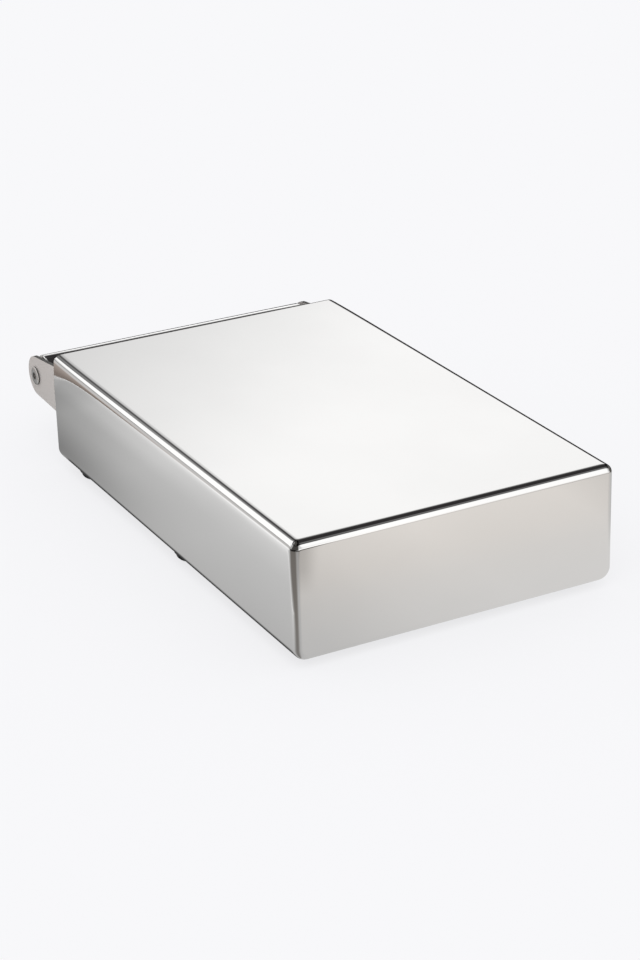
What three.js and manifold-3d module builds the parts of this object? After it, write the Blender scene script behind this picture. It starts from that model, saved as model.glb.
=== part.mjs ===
// Coffee knock drawer: a folded steel housing, and a drawer that slides out of its open end on a bar handle.
// Lengths are millimetres and +Z is up. The housing's closed end faces -Y and the drawer opens towards +Y.
import * as THREE from "three";
import { mergeVertices } from "three/addons/utils/BufferGeometryUtils.js";
import Module from "manifold-3d";

// Clearances
const seatGap = 0.3;
const runningGap = 0.5;
const sideGap = 1;
const overrun = 2;

// Housing shell
const shellWidth = 190;
const shellDepth = 307;
const shellHeight = 66.4;
const sheet = 1.5;
const topBendRadius = 4.6;
const bottomBendRadius = 7.5;
const frontRimRadius = 4.2;
const mouthCornerRadius = 8;
const flangeWidth = 32;
const frontFlangeDepth = 45;
const flangeCornerRadius = 9;

// Base plate
const baseThickness = 1.5;
const baseEdgeGap = 0.5;
const baseCornerRadius = 4;

// Feet
const footHeight = 4.5;
const footTopRadius = 10.5;
const footBottomRadius = 10;
const footEdgeRadius = 2.2;
const footInset = 14.2;
const frontFootInset = 19;
const frontFootSetback = 30;
const middleFootSetback = 150.6;
const rearFootSetback = 24.7;

// Foot screws
const footShankRadius = 2;
const footHeadRadius = 3.6;
const footHeadHeight = 1.8;
const footShoulder = 1.9;
const footScrewTip = 0.8;
const footSocketRadius = 1.6;
const footSocketDepth = 1;

// Plastic glides under the drawer and above its sides
const glideWidth = 12;
const glideHeight = 2.4;
const glideInset = 33;
const glideEndGap = 12;
const glideCornerShare = 1 / 3;
const topGlideLength = 115;
const topGlideWidth = 9;
const topGlideHeight = 3.5;

// Drawer stop and rubber buffers
const stopInset = 60;
const stopHeight = 1.5;
const stopDepth = 12;
const stopCornerRadius = 2;
const bufferRadius = 6;
const bufferHeight = 6;
const bufferEdgeRadius = 1.5;
const bufferInset = 35;
const bufferRise = 34;

// Drawer pan
const drawerTravel = 205;
const drawerRecess = 1.5;
const panSheet = 1.2;
const panBendRadius = 7;
const hemGap = 0.6;
const hemReturn = 8;
const frontRimDrop = 1.8;
const lipInset = 65;
const lipSetback = 9;
const lipDrop = 1.7;
const lipCornerShare = 1 / 3;

// Side plates and their ears
const plateThickness = 2.5;
const plateCornerRadius = 10;
const plateFootRadius = 4;
const earEndRadius = 12.5;
const earLowHeight = 28.5;
const earShoulderHeight = 58.2;
const earShoulderRun = 16;
const earFilletRadius = 3;

// Bar handle
const handleReach = 34.4;
const handleHeight = 42;
const handleRadius = 11.6;
const handleWall = 1.5;
const handleEndRound = 0.8;
const spacerRadius = 10;
const spacerThickness = 2.5;
const plugLength = 16;
const handleShankRadius = 4;
const handleShankLength = 17;
const handleHeadRadius = 5.6;
const handleHeadHeight = 1.4;
const handleHeadCrown = 0.6;
const handleCrownShare = 1 / 3;
const handleSocketRadius = 2.5;
const handleSocketDepth = 3.5;

// Knock bar
const knockSetback = 97;
const knockHeight = 43.5;
const knockRodRadius = 6;
const sleeveRadius = 13;
const sleeveEndRound = 2.5;
const knockShankRadius = 2.5;
const knockShankLength = 14;
const knockHeadRadius = 4.7;
const knockHeadDepth = 2;
const knockSocketRadius = 1.75;
const knockSocketDepth = 1.5;

// Places that follow from the sizes above
const overallDepth = shellDepth + handleReach + earEndRadius;
const frontY = -overallDepth / 2;
const rearY = frontY + shellDepth;
const halfWidth = shellWidth / 2;
const shellBottom = footHeight;
const shellTop = shellBottom + shellHeight;
const flangeTop = shellBottom + sheet;
const baseTop = flangeTop + baseThickness;
const ceiling = shellTop - sheet;
const innerX = halfWidth - sheet;
const baseEndY = rearY - mouthCornerRadius - baseEdgeGap;
const plateOuterX = innerX - sideGap;
const plateInnerX = plateOuterX - plateThickness;
const drawerBottom = baseTop + glideHeight + seatGap;
const drawerTop = ceiling - topGlideHeight - runningGap;
const drawerInnerY = frontY + sheet + bufferHeight + seatGap;
const drawerFrontY = rearY - drawerRecess;
const handleY = rearY + handleReach;
const handleZ = shellBottom + handleHeight;
const knockY = drawerFrontY - knockSetback;
const knockZ = shellBottom + knockHeight;
const lipY = drawerInnerY + lipSetback;
const stopY = lipY + panSheet + drawerTravel + seatGap;

// Counts of facets, and the distance under which two corners are one
const cornerSteps = 8;
const edgeSteps = 3;
const rimSteps = 7;
const smallSides = 20;
const roundSides = 26;
const barSides = 48;
const hexSides = 6;
const oneCorner = 1e-4;

const quarterTurn = Math.PI / 2;
const halfTurn = Math.PI;
const xAxis = new THREE.Vector3(1, 0, 0);
const yAxis = new THREE.Vector3(0, 1, 0);
const zAxis = new THREE.Vector3(0, 0, 1);

const wasm = await Module();
wasm.setup();

const knockDrawer = new THREE.Group();

// Adds one named piece with its own material.
function place(name, geometry, finish) {
  const mesh = new THREE.Mesh(geometry, new THREE.MeshStandardMaterial(finish));
  mesh.name = name;
  knockDrawer.add(mesh);
}

const polishedSteel = { color: 0xd9d8d6, metalness: 1, roughness: 0.12 };
const brushedSteel = { color: 0xbdb8b3, metalness: 1, roughness: 0.35 };
const blackRubber = { color: 0x16161a, metalness: 0, roughness: 0.75 };
const blackPlastic = { color: 0x1b1b1d, metalness: 0, roughness: 0.5 };
const whitePlastic = { color: 0xe6e4de, metalness: 0, roughness: 0.55 };

// The closed solid that a surface encloses.
function solidOf(geometry) {
  const loose = geometry.index ? geometry.toNonIndexed() : geometry;
  const bare = new THREE.BufferGeometry().setAttribute("position", loose.getAttribute("position"));
  const merged = mergeVertices(bare, oneCorner);
  return new wasm.Manifold(
    new wasm.Mesh({
      numProp: 3,
      vertProperties: merged.attributes.position.array,
      triVerts: new Uint32Array(merged.index.array),
    }),
  );
}

// The surface of a solid.
function surfaceOf(solid) {
  const { vertProperties, triVerts } = solid.getMesh();
  const geometry = new THREE.BufferGeometry();
  geometry.setAttribute("position", new THREE.BufferAttribute(new Float32Array(vertProperties), 3));
  geometry.setIndex(new THREE.BufferAttribute(new Uint32Array(triVerts), 1));
  geometry.computeVertexNormals();
  return geometry;
}

// One surface with others cut out of it.
function cut(geometry, ...tools) {
  return surfaceOf(tools.reduce((left, tool) => left.subtract(solidOf(tool)), solidOf(geometry)));
}

// One surface with others joined to it.
function join(geometry, ...others) {
  return surfaceOf(others.reduce((left, other) => left.add(solidOf(other)), solidOf(geometry)));
}

// Extrudes an outline drawn in (y, z) along X.
function alongX(outline, fromX, toX) {
  const settings = { depth: toX - fromX, bevelEnabled: false, curveSegments: cornerSteps };
  const geometry = new THREE.ExtrudeGeometry(outline, settings);
  geometry.applyMatrix4(new THREE.Matrix4().makeBasis(yAxis, zAxis, xAxis));
  return geometry.translate(fromX, 0, 0);
}

// Extrudes an outline drawn in (x, z) along Y.
function alongY(outline, fromY, toY) {
  const settings = { depth: toY - fromY, bevelEnabled: false, curveSegments: cornerSteps };
  const geometry = new THREE.ExtrudeGeometry(outline, settings);
  geometry.applyMatrix4(new THREE.Matrix4().makeBasis(xAxis, zAxis, yAxis.clone().negate()));
  return geometry.translate(0, toY, 0);
}

// Extrudes an outline drawn in (x, y) along Z.
function alongZ(outline, fromZ, toZ) {
  const settings = { depth: toZ - fromZ, bevelEnabled: false, curveSegments: cornerSteps };
  return new THREE.ExtrudeGeometry(outline, settings).translate(0, 0, fromZ);
}

// A rectangle with round corners.
function roundedRectangle(left, bottom, right, top, radius) {
  const outline = new THREE.Shape();
  outline.moveTo(left + radius, bottom);
  outline.absarc(right - radius, bottom + radius, radius, -quarterTurn, 0);
  outline.absarc(right - radius, top - radius, radius, 0, quarterTurn);
  outline.absarc(left + radius, top - radius, radius, quarterTurn, halfTurn);
  outline.absarc(left + radius, bottom + radius, radius, halfTurn, halfTurn + quarterTurn);
  return outline;
}

// Turns a profile of [radius, height] points about Z. The points run up the outside and down the inside.
function turned(profile, sides) {
  const points = profile.map(([radius, height]) => new THREE.Vector2(radius, height));
  return new THREE.LatheGeometry(points, sides).rotateX(quarterTurn);
}

// Points on a quarter round of a profile, from one angle to another.
function roundStep(centreRadius, centreHeight, radius, fromAngle, toAngle, steps) {
  return Array.from({ length: steps + 1 }, (_, step) => {
    const angle = fromAngle + ((toAngle - fromAngle) * step) / steps;
    return [centreRadius + radius * Math.cos(angle), centreHeight + radius * Math.sin(angle)];
  });
}

// Lays a piece made about Z down so that its top faces outwards on one side of the drawer.
function facingSide(geometry, side) {
  return geometry.rotateY(side * quarterTurn);
}

// A plain round bar or hole about Z.
function rod(radius, fromZ, toZ, sides) {
  const profile = [[0, fromZ], [radius, fromZ], [radius, toZ], [0, toZ]];
  return turned(profile, sides);
}

// A hexagon socket about Z, open at the top.
function hexSocket(radius, topZ, depth) {
  return rod(radius, topZ - depth, topZ + overrun, hexSides);
}

// One cross-section of the housing in (x, z), with its four bends, drawn in from the outer faces by an inset.
function housingSection(inset) {
  const bends = [
    [1, 1, topBendRadius],
    [-1, 1, topBendRadius],
    [-1, -1, bottomBendRadius],
    [1, -1, bottomBendRadius],
  ];
  return bends.flatMap(([sideX, sideZ, radius], corner) => {
    const centreX = sideX * (halfWidth - radius);
    const centreZ = sideZ > 0 ? shellTop - radius : shellBottom + radius;
    const startAngle = corner * quarterTurn;
    return roundStep(centreX, centreZ, radius - inset, startAngle, startAngle + quarterTurn, cornerSteps);
  });
}

// Joins cross-sections of equal point count into one closed body, from the first along +Y to the last.
function loft(sections) {
  const count = sections[0].outline.length;
  const positions = sections.flatMap(({ y, outline }) => outline.flatMap(([x, z]) => [x, y, z]));
  const index = [];
  for (let ring = 0; ring + 1 < sections.length; ring += 1) {
    for (let point = 0; point < count; point += 1) {
      const next = (point + 1) % count;
      const near = ring * count;
      const far = near + count;
      index.push(near + point, far + point, near + next);
      index.push(near + next, far + point, far + next);
    }
  }
  const last = (sections.length - 1) * count;
  for (let point = 1; point + 1 < count; point += 1) {
    index.push(0, point, point + 1);
    index.push(last, last + point + 1, last + point);
  }
  const geometry = new THREE.BufferGeometry();
  geometry.setAttribute("position", new THREE.Float32BufferAttribute(positions, 3));
  geometry.setIndex(index);
  return geometry;
}

// The housing's skin at one depth below its outer faces: a dished closed end, then straight to the mouth.
function housingSkin(depth, endY) {
  const rim = frontRimRadius - depth;
  const sections = Array.from({ length: rimSteps + 1 }, (_, step) => {
    const angle = (quarterTurn * step) / rimSteps;
    return {
      y: frontY + depth + rim * (1 - Math.cos(angle)),
      outline: housingSection(depth + rim * (1 - Math.sin(angle))),
    };
  });
  return loft([...sections, { y: endY, outline: housingSection(depth) }]);
}

// The feet, by row: distance of the row behind the closed end, and inset of the foot's axis from the side.
const footRows = [
  { row: "front", y: frontY + frontFootSetback, x: halfWidth - frontFootInset },
  { row: "middle", y: frontY + middleFootSetback, x: halfWidth - footInset },
  { row: "rear", y: rearY - rearFootSetback, x: halfWidth - footInset },
];
const sides = [
  { hand: "left", side: -1 },
  { hand: "right", side: 1 },
];
const footPlaces = footRows.flatMap(({ row, x, y }) =>
  sides.map(({ hand, side }) => ({ name: `${hand}_${row}`, x: side * x, y })),
);

// The waste of the round lower rear corner, past the sides of the sheet that it trims.
function mouthCornerWaste() {
  const centreY = rearY - mouthCornerRadius;
  const centreZ = shellBottom + mouthCornerRadius;
  const outline = new THREE.Shape();
  outline.moveTo(centreY, shellBottom - overrun);
  outline.lineTo(rearY + overrun, shellBottom - overrun);
  outline.lineTo(rearY + overrun, centreZ);
  outline.lineTo(rearY, centreZ);
  outline.absarc(centreY, centreZ, mouthCornerRadius, 0, -quarterTurn, true);
  return alongX(outline, -halfWidth - overrun, halfWidth + overrun);
}

// The underside is open between the turned-in flanges.
function flangeOpening() {
  const openX = halfWidth - flangeWidth;
  const openY = frontY + frontFlangeDepth;
  const outline = roundedRectangle(-openX, openY, openX, rearY + flangeWidth, flangeCornerRadius);
  return alongZ(outline, shellBottom - overrun, flangeTop + overrun);
}

// The six screw holes of the feet through a layer of the bottom.
function footHoles(fromZ, toZ) {
  const radius = footShankRadius + seatGap;
  return footPlaces.map(({ x, y }) => rod(radius, fromZ, toZ, smallSides).translate(x, y, 0));
}

// The folded housing: skin, bottom flanges, trimmed mouth corners and screw holes.
function housingShell() {
  const outer = housingSkin(0, rearY);
  const inner = housingSkin(sheet, rearY + overrun);
  const holes = footHoles(shellBottom - overrun, flangeTop + overrun);
  return cut(outer, inner, flangeOpening(), mouthCornerWaste(), ...holes);
}

// A flat sheet inside the bottom bends, welded on the flanges.
function basePlate() {
  const edgeX = halfWidth - bottomBendRadius - baseEdgeGap;
  const startY = frontY + frontRimRadius + baseEdgeGap;
  const outline = roundedRectangle(-edgeX, startY, edgeX, baseEndY, baseCornerRadius);
  return cut(alongZ(outline, flangeTop, baseTop), ...footHoles(flangeTop - overrun, baseTop + overrun));
}

// A rubber foot with a deep counterbore, tapered, with a round lower edge.
function foot() {
  const holeRadius = footShankRadius + seatGap;
  const boreRadius = footHeadRadius + runningGap;
  const shoulderZ = footHeight - footShoulder;
  const edgeCentre = footBottomRadius - footEdgeRadius;
  return turned(
    [
      [boreRadius, 0],
      ...roundStep(edgeCentre, footEdgeRadius, footEdgeRadius, -quarterTurn, 0, edgeSteps),
      [footTopRadius, footHeight],
      [holeRadius, footHeight],
      [holeRadius, shoulderZ],
      [boreRadius, shoulderZ],
      [boreRadius, 0],
    ],
    roundSides,
  );
}

// A pan-head screw from below: its head bears on the foot's shoulder and its tip stands in the base plate.
function footScrew() {
  const seatZ = footHeight - footShoulder;
  const crownRadius = footHeadHeight / 2;
  const crownX = footHeadRadius - crownRadius;
  const crownZ = seatZ - crownRadius;
  const body = turned(
    [
      [0, crownZ - crownRadius],
      ...roundStep(crownX, crownZ, crownRadius, -quarterTurn, 0, edgeSteps),
      [footHeadRadius, seatZ],
      [footShankRadius, seatZ],
      [footShankRadius, baseTop + footScrewTip],
      [0, baseTop + footScrewTip],
    ],
    smallSides,
  );
  const headZ = seatZ - footHeadHeight;
  return cut(body, rod(footSocketRadius, headZ - overrun, headZ + footSocketDepth, hexSides));
}

// A strip on the base plate that the drawer's floor slides on.
function floorGlide(side) {
  const centreX = side * (halfWidth - glideInset);
  const left = centreX - glideWidth / 2;
  const right = centreX + glideWidth / 2;
  const startY = frontY + frontRimRadius + glideEndGap;
  const endY = baseEndY - glideEndGap;
  const outline = roundedRectangle(left, startY, right, endY, glideWidth * glideCornerShare);
  return alongZ(outline, baseTop, baseTop + glideHeight);
}

// A strip under the top, just above the drawer's side, with its outer corner rounded to clear the bend.
function topGlide(side) {
  const outerX = innerX - seatGap;
  const innerEdge = outerX - topGlideWidth;
  const underside = ceiling - topGlideHeight;
  const clearRadius = topBendRadius - sheet + seatGap;
  const section = new THREE.Shape();
  section.moveTo(innerEdge, underside);
  section.lineTo(outerX, underside);
  section.absarc(outerX - clearRadius, ceiling - clearRadius, clearRadius, 0, quarterTurn);
  section.lineTo(innerEdge, ceiling);
  const strip = alongY(section, -topGlideLength / 2, topGlideLength / 2);
  return strip.rotateZ(side > 0 ? 0 : halfTurn).translate(0, baseEndY - topGlideLength / 2, 0);
}

// A low strip across the base plate that the lip of the drawer meets when it is fully open.
function drawerStop() {
  const half = halfWidth - stopInset;
  const outline = roundedRectangle(-half, stopY, half, stopY + stopDepth, stopCornerRadius);
  return alongZ(outline, baseTop, baseTop + stopHeight);
}

// A rubber button on the inside of the closed end.
function buffer(side) {
  const edgeCentre = bufferHeight - bufferEdgeRadius;
  const button = turned(
    [
      [0, 0],
      [bufferRadius, 0],
      ...roundStep(bufferRadius - bufferEdgeRadius, edgeCentre, bufferEdgeRadius, 0, quarterTurn, edgeSteps),
      [0, bufferHeight],
    ],
    roundSides,
  );
  button.rotateX(-quarterTurn);
  return button.translate(side * (halfWidth - bufferInset), frontY + sheet, shellBottom + bufferRise);
}

// The pan's section in (y, z): inner end, floor and front in one strip, each end hemmed back on its inside.
function panSection(rearRim, frontRim) {
  const hemRadius = panSheet + hemGap / 2;
  const insideBend = panBendRadius - panSheet;
  const floorTop = drawerBottom + panSheet;
  const lowCentre = drawerBottom + panBendRadius;
  const startCentre = drawerInnerY + panBendRadius;
  const endCentre = drawerFrontY - panBendRadius;
  const frontCentre = frontRim - hemRadius;
  const rearCentre = rearRim - hemRadius;
  const frontHem = drawerFrontY - hemRadius;
  const rearHem = drawerInnerY + hemRadius;
  const strip = new THREE.Shape();
  strip.moveTo(drawerInnerY, lowCentre);
  strip.absarc(startCentre, lowCentre, panBendRadius, halfTurn, halfTurn + quarterTurn);
  strip.absarc(endCentre, lowCentre, panBendRadius, -quarterTurn, 0);
  strip.absarc(frontHem, frontCentre, hemRadius, 0, halfTurn);
  strip.lineTo(frontHem - hemRadius, frontCentre - hemReturn);
  strip.lineTo(frontHem - hemGap / 2, frontCentre - hemReturn);
  strip.absarc(frontHem, frontCentre, hemGap / 2, halfTurn, 0, true);
  strip.absarc(endCentre, lowCentre, insideBend, 0, -quarterTurn, true);
  strip.lineTo(startCentre, floorTop);
  strip.absarc(startCentre, lowCentre, insideBend, -quarterTurn, -halfTurn, true);
  strip.absarc(rearHem, rearCentre, hemGap / 2, halfTurn, 0, true);
  strip.lineTo(rearHem + hemGap / 2, rearCentre - hemReturn);
  strip.lineTo(rearHem + hemRadius, rearCentre - hemReturn);
  strip.absarc(rearHem, rearCentre, hemRadius, 0, halfTurn);
  return strip;
}

// The folded pan between the side plates, with the lip that hangs down behind its inner end.
function drawerPan() {
  const pan = alongX(panSection(drawerTop, ceiling - frontRimDrop), -plateInnerX, plateInnerX);
  const half = halfWidth - lipInset;
  const lipShape = roundedRectangle(-half, lipY, half, lipY + panSheet, panSheet * lipCornerShare);
  const lip = alongZ(lipShape, drawerBottom - lipDrop, drawerBottom + panSheet / 2);
  return join(pan, lip);
}

// The point where a line from an outside point touches a circle, on its upper or lower side.
function tangentAngle(fromY, fromZ, centreY, centreZ, radius, upper) {
  const awayY = fromY - centreY;
  const awayZ = fromZ - centreZ;
  const spread = Math.acos(radius / Math.hypot(awayY, awayZ));
  return Math.atan2(awayZ, awayY) + (upper ? -spread : spread);
}

// A side plate's outline in (y, z), from its inner end out to the round end of the ear.
function plateOutline() {
  const mouthLow = shellBottom + earLowHeight;
  const mouthHigh = shellBottom + earShoulderHeight;
  const fillet = earFilletRadius;
  const lowAngle = tangentAngle(drawerFrontY + fillet, mouthLow, handleY, handleZ, earEndRadius, false);
  const highAngle = tangentAngle(rearY, mouthHigh, handleY, handleZ, earEndRadius, true);
  const shoulderY = rearY - earShoulderRun;
  const easeY = shoulderY + earShoulderRun / 2;
  const innerTopY = drawerInnerY + plateCornerRadius;
  const innerTopZ = drawerTop - plateCornerRadius;
  const innerLowY = drawerInnerY + plateFootRadius;
  const outerLowY = drawerFrontY - plateFootRadius;
  const lowZ = drawerBottom + plateFootRadius;
  const plate = new THREE.Shape();
  plate.moveTo(innerLowY, drawerBottom);
  plate.absarc(outerLowY, lowZ, plateFootRadius, -quarterTurn, 0);
  plate.lineTo(drawerFrontY, mouthLow - fillet);
  plate.absarc(drawerFrontY + fillet, mouthLow - fillet, fillet, halfTurn, quarterTurn, true);
  plate.absarc(handleY, handleZ, earEndRadius, lowAngle, highAngle);
  plate.lineTo(rearY, mouthHigh);
  plate.bezierCurveTo(easeY, mouthHigh, easeY, drawerTop, shoulderY, drawerTop);
  plate.absarc(innerTopY, innerTopZ, plateCornerRadius, quarterTurn, halfTurn);
  plate.absarc(innerLowY, lowZ, plateFootRadius, halfTurn, halfTurn + quarterTurn);
  return plate;
}

// The flush seat of a knock-bar screw, about Z with its wide end at the plate's outer face.
function countersink(gap) {
  const wide = knockHeadRadius + gap;
  const narrow = knockShankRadius + gap;
  return turned(
    [
      [0, -knockHeadDepth],
      [narrow, -knockHeadDepth],
      [wide, 0],
      [wide, overrun],
      [0, overrun],
    ],
    smallSides,
  );
}

// A cut plate that closes one side of the tray and reaches out to carry the handle.
function sidePlate(side) {
  const [fromX, toX] = side > 0 ? [plateInnerX, plateOuterX] : [-plateOuterX, -plateInnerX];
  const blank = alongX(plateOutline(), fromX, toX);
  const through = plateThickness + overrun;
  const earHole = facingSide(rod(handleShankRadius + seatGap, -through, overrun, roundSides), side);
  const knockHole = facingSide(rod(knockShankRadius + seatGap, -through, overrun, smallSides), side);
  const seat = facingSide(countersink(seatGap), side);
  const outerX = side * plateOuterX;
  return cut(
    blank,
    earHole.translate(outerX, handleY, handleZ),
    knockHole.translate(outerX, knockY, knockZ),
    seat.translate(outerX, knockY, knockZ),
  );
}

// A tube along X with round ends on its outside, given by its half length.
function tube(halfLength, outerRadius, innerRadius, endRound, faces) {
  const high = halfLength - endRound;
  const shape = turned(
    [
      [innerRadius, -halfLength],
      ...roundStep(outerRadius - endRound, -high, endRound, -quarterTurn, 0, edgeSteps),
      ...roundStep(outerRadius - endRound, high, endRound, 0, quarterTurn, edgeSteps),
      [innerRadius, halfLength],
      [innerRadius, -halfLength],
    ],
    faces,
  );
  return facingSide(shape, 1);
}

const handleHalfLength = plateInnerX - spacerThickness;

// The pull: a bright tube whose ends are lightly rounded.
function handleBar() {
  const bore = handleRadius - handleWall;
  const bar = tube(handleHalfLength, handleRadius, bore, handleEndRound, barSides);
  return bar.translate(0, handleY, handleZ);
}

// A threaded plug in one end of the handle tube.
function handlePlug(side) {
  const radius = handleRadius - handleWall - seatGap;
  const hole = handleShankRadius + seatGap;
  const ring = turned(
    [[hole, -plugLength], [radius, -plugLength], [radius, 0], [hole, 0], [hole, -plugLength]],
    roundSides,
  );
  return facingSide(ring, side).translate(side * handleHalfLength, handleY, handleZ);
}

// A dark washer that keeps the handle tube off the ear.
function handleSpacer(side) {
  const hole = handleShankRadius + seatGap;
  const ring = turned(
    [[hole, 0], [spacerRadius, 0], [spacerRadius, spacerThickness], [hole, spacerThickness], [hole, 0]],
    roundSides,
  );
  return facingSide(ring, side).translate(side * handleHalfLength, handleY, handleZ);
}

// A low-headed socket screw through the ear and the washer into the plug.
function handleScrew(side) {
  const rimHeight = handleHeadHeight - handleHeadCrown;
  const crownStep = handleHeadRadius * handleCrownShare;
  const body = turned(
    [
      [0, -handleShankLength],
      [handleShankRadius, -handleShankLength],
      [handleShankRadius, 0],
      [handleHeadRadius, 0],
      [handleHeadRadius, rimHeight],
      [handleHeadRadius - crownStep, handleHeadHeight],
      [0, handleHeadHeight],
    ],
    roundSides,
  );
  const screw = cut(body, hexSocket(handleSocketRadius, handleHeadHeight, handleSocketDepth));
  return facingSide(screw, side).translate(side * plateOuterX, handleY, handleZ);
}

// The steel rod between the side plates, with a tapped hole in each end.
function knockRod() {
  const hole = knockShankRadius + seatGap;
  const depth = knockShankLength - plateThickness + seatGap;
  const bar = facingSide(rod(knockRodRadius, -plateInnerX, plateInnerX, roundSides), 1);
  const tapped = sides.map(({ side }) => {
    const drill = facingSide(rod(hole, -depth, overrun, smallSides), side);
    return drill.translate(side * plateInnerX, 0, 0);
  });
  return cut(bar, ...tapped).translate(0, knockY, knockZ);
}

// The thick rubber tube that takes the blows.
function knockSleeve() {
  const sleeve = tube(
    plateInnerX - runningGap,
    sleeveRadius,
    knockRodRadius + seatGap,
    sleeveEndRound,
    barSides,
  );
  return sleeve.translate(0, knockY, knockZ);
}

// A flush socket screw through the side plate into the rod.
function knockScrew(side) {
  const body = turned(
    [
      [0, -knockShankLength],
      [knockShankRadius, -knockShankLength],
      [knockShankRadius, -knockHeadDepth],
      [knockHeadRadius, 0],
      [0, 0],
    ],
    smallSides,
  );
  const screw = cut(body, hexSocket(knockSocketRadius, 0, knockSocketDepth));
  return facingSide(screw, side).translate(side * plateOuterX, knockY, knockZ);
}

place("housing_shell", housingShell(), polishedSteel);
place("base_plate", basePlate(), brushedSteel);
for (const { name, x, y } of footPlaces) {
  place(`foot_${name}`, foot().translate(x, y, 0), blackRubber);
  place(`foot_screw_${name}`, footScrew().translate(x, y, 0), brushedSteel);
}
place("drawer_stop", drawerStop(), brushedSteel);
place("drawer_pan", drawerPan(), brushedSteel);
place("handle_bar", handleBar(), polishedSteel);
place("knock_rod", knockRod(), brushedSteel);
place("knock_sleeve", knockSleeve(), blackRubber);
for (const { hand, side } of sides) {
  place(`${hand}_floor_glide`, floorGlide(side), whitePlastic);
  place(`${hand}_top_glide`, topGlide(side), whitePlastic);
  place(`${hand}_buffer`, buffer(side), blackRubber);
  place(`${hand}_side_plate`, sidePlate(side), brushedSteel);
  place(`${hand}_handle_plug`, handlePlug(side), brushedSteel);
  place(`${hand}_handle_spacer`, handleSpacer(side), blackPlastic);
  place(`${hand}_handle_screw`, handleScrew(side), polishedSteel);
  place(`${hand}_knock_screw`, knockScrew(side), brushedSteel);
}

export default knockDrawer;
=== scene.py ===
# Coffee knock drawer: a polished steel housing, and a satin steel tray that slides out of it on a bar handle.
# Lengths are metres and +Z is up. The housing's closed end faces -Y and the drawer opens towards +Y.
import math

import bmesh
import bpy
import numpy as np
from mathutils import Matrix, Vector
from mathutils.geometry import tessellate_polygon


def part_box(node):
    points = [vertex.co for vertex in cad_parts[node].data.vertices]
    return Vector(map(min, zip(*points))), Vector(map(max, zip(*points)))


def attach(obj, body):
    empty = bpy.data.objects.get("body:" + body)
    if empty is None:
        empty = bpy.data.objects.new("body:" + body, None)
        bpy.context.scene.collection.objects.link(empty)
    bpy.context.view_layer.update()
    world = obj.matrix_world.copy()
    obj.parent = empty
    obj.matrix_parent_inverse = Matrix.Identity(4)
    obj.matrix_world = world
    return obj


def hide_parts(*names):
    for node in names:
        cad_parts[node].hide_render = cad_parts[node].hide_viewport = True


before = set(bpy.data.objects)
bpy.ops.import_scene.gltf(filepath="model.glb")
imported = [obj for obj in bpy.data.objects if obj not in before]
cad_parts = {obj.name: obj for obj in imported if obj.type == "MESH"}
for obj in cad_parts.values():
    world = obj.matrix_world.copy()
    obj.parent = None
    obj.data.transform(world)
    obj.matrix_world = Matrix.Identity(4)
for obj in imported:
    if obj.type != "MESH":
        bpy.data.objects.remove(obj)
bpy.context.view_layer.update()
scene = bpy.context.scene

# Camera
# A long lens looks down on the closed end from the front left, and leans a little to its right. Its place,
# turn and length are fitted to the edges of the box.
camera_place = Vector((-0.596357, -1.173976, 0.593601))
camera_azimuth = math.radians(-27.435196)
camera_elevation = math.radians(23.633659)
camera_lean = math.radians(-1.655830)
lens_length = 94.27515
picture_height = 36.0
view_reach = 50


def camera_axes(azimuth, elevation, lean):
    """The camera's right, up and backward directions."""
    level = math.cos(elevation)
    back = Vector((math.sin(azimuth) * level, -math.cos(azimuth) * level, math.sin(elevation)))
    right = Vector((0, 0, 1)).cross(back).normalized()
    above = back.cross(right)
    turned_right = right * math.cos(lean) + above * math.sin(lean)
    turned_above = above * math.cos(lean) - right * math.sin(lean)
    return turned_right, turned_above, back


def new_object(name, data):
    """An object in the scene, at the origin."""
    made = bpy.data.objects.new(name, data)
    scene.collection.objects.link(made)
    return made


lens = bpy.data.cameras.new("camera")
lens.sensor_fit = "VERTICAL"
lens.sensor_height = picture_height
lens.lens = lens_length
lens.clip_end = view_reach
camera = new_object("camera", lens)
camera_turn = Matrix(camera_axes(camera_azimuth, camera_elevation, camera_lean)).transposed().to_4x4()
camera.matrix_world = Matrix.Translation(camera_place) @ camera_turn
scene.camera = camera
scene.view_settings.view_transform = "Standard"

# Studio light
# White panels hang behind, beside and in front of the box under a dark ceiling, as round any polished object.
# Only mirror-like rays see them: matt surfaces get one even level, and the picture's ground is one pale tone.
ground_tone = (0.939, 0.939, 0.955, 1)
even_level = (0.86, 0.86, 0.87, 1)
dark_ceiling = (0.030, 0.028, 0.029, 1)
ground_rise = (-95, 5, 3)
dark_turn = (20, 64, 4)


def shade(tree, kind, inputs=None, **settings):
    """Adds one shader node. An input is a value, or an output of another node."""
    made = tree.nodes.new("ShaderNode" + kind)
    for name, value in settings.items():
        setattr(made, name, value)
    for key, value in (inputs or {}).items():
        if isinstance(value, bpy.types.NodeSocket):
            tree.links.new(value, made.inputs[key])
        else:
            made.inputs[key].default_value = value
    return made


def calc(tree, operation, first, second=0.0, third=0.0):
    """One sum of up to three numbers or outputs."""
    return shade(tree, "Math", {0: first, 1: second, 2: third}, operation=operation).outputs[0]


def times(tree, first, *others):
    """Numbers or outputs multiplied together."""
    for other in others:
        first = calc(tree, "MULTIPLY", first, other)
    return first


def slanting(tree, first, slope, second):
    """A place counted across slanting lines: the first times its slope, and the second."""
    return calc(tree, "MULTIPLY_ADD", first, slope, second)


def ramp(tree, value, low, high, start=0.0, end=1.0):
    """A smooth step of a value, from start at low to end at high."""
    ends = {"Value": value, "From Min": low, "From Max": high, "To Min": start, "To Max": end}
    return shade(tree, "MapRange", ends, interpolation_type="SMOOTHSTEP").outputs[0]


def fall(tree, value, low, high):
    """A smooth step down, from one at low to zero at high."""
    return ramp(tree, value, low, high, 1.0, 0.0)


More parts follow.
